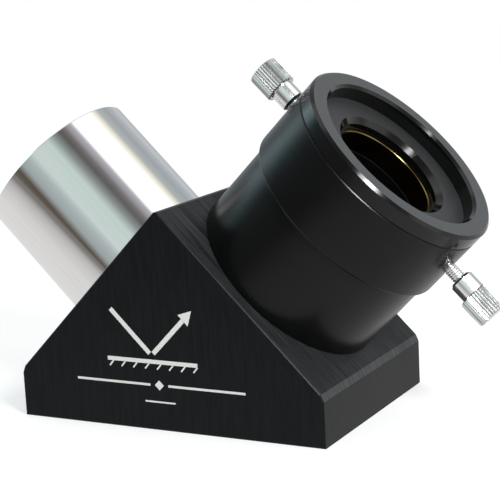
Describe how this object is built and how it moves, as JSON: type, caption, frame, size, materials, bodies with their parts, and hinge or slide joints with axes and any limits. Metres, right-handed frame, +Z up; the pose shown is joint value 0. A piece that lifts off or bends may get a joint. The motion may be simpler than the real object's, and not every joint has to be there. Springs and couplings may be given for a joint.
{
  "type": "star diagonal",
  "caption": "Right-angle mirror diagonal for a telescope: prism housing, bright two-inch nosepiece and eyepiece holder with a 1.25 inch adapter and knurled thumbscrews.",
  "frame": {"origin": "centre of the flat base, on the plane it stands on", "axes": "+Z up, out of the base; X along the base in the plane of both light paths, nosepiece on the -X side and eyepiece holder on the +X side; Y across the housing"},
  "size_m": [0.163, 0.069, 0.1035],
  "materials": {
    "black_anodised": "brushed black anodised aluminium",
    "black_gloss": "smooth gloss black anodised aluminium",
    "bright_chrome": "polished, turned",
    "nickel_knurl": "nickel plated, straight knurl",
    "brass": "turned brass",
    "mirror_coating": "dielectric front-surface coating on glass",
    "silicone": "translucent white silicone",
    "print_ink": "screen-printed ink",
    "blackened_steel": "blackened steel screws"
  },
  "bodies": {
    "root": {"housing_body": "black_anodised", "base_plate": "black_anodised", "base_plate_screws": "blackened_steel", "mirror_glass": "mirror_coating", "mirror_pad_1": "silicone", "mirror_pad_2": "silicone", "mirror_pad_3": "silicone", "mirror_edge_spacer_1": "silicone", "mirror_edge_spacer_2": "silicone", "mirror_edge_spacer_3": "silicone", "mirror_edge_spacer_4": "silicone", "mirror_edge_spacer_5": "silicone", "mirror_edge_spacer_6": "silicone", "nosepiece_barrel": "bright_chrome", "nosepiece_baffle": "black_gloss", "nosepiece_lock_screw": "blackened_steel", "holder_tube": "black_gloss", "holder_lock_screw": "blackened_steel", "holder_collar": "black_gloss", "compression_ring_2in": "brass"},
    "adapter": {"adapter_body": "black_gloss", "compression_ring_1p25in": "brass"},
    "upper_shank": {"upper_thumbscrew_shank": "nickel_knurl"},
    "upper_knob": {"upper_thumbscrew_knob": "nickel_knurl"},
    "lower_shank": {"lower_thumbscrew_shank": "nickel_knurl"},
    "lower_knob": {"lower_thumbscrew_knob": "nickel_knurl"}
  },
  "joints": [
    {"name": "adapter_pull", "type": "slide", "parent": "root", "child": "adapter", "axis": [0.7071, 0, 0.7071], "range_m": [0, 0.04]},
    {"name": "upper_screw_feed", "type": "slide", "parent": "root", "child": "upper_shank", "axis": [-0.7071, 0, 0.7071], "range_m": [0, 0.0044]},
    {"name": "upper_knob_turn", "type": "hinge", "parent": "upper_shank", "child": "upper_knob", "pos_m": [0.02312, 0, 0.09569], "axis": [-0.7071, 0, 0.7071], "range_deg": [0, 2263.4]},
    {"name": "lower_screw_feed", "type": "slide", "parent": "root", "child": "lower_shank", "axis": [0.7071, 0, -0.7071], "range_m": [-0.0033, 0.0011]},
    {"name": "lower_knob_turn", "type": "hinge", "parent": "lower_shank", "child": "lower_knob", "pos_m": [0.07969, 0, 0.03912], "axis": [0.7071, 0, -0.7071], "range_deg": [-1697.6, 566.2]}
  ],
  "couplings": [
    {"joint": "upper_knob_turn", "follows": "upper_screw_feed", "rad_per_m": 8976},
    {"joint": "lower_knob_turn", "follows": "lower_screw_feed", "rad_per_m": 8976}
  ]
}
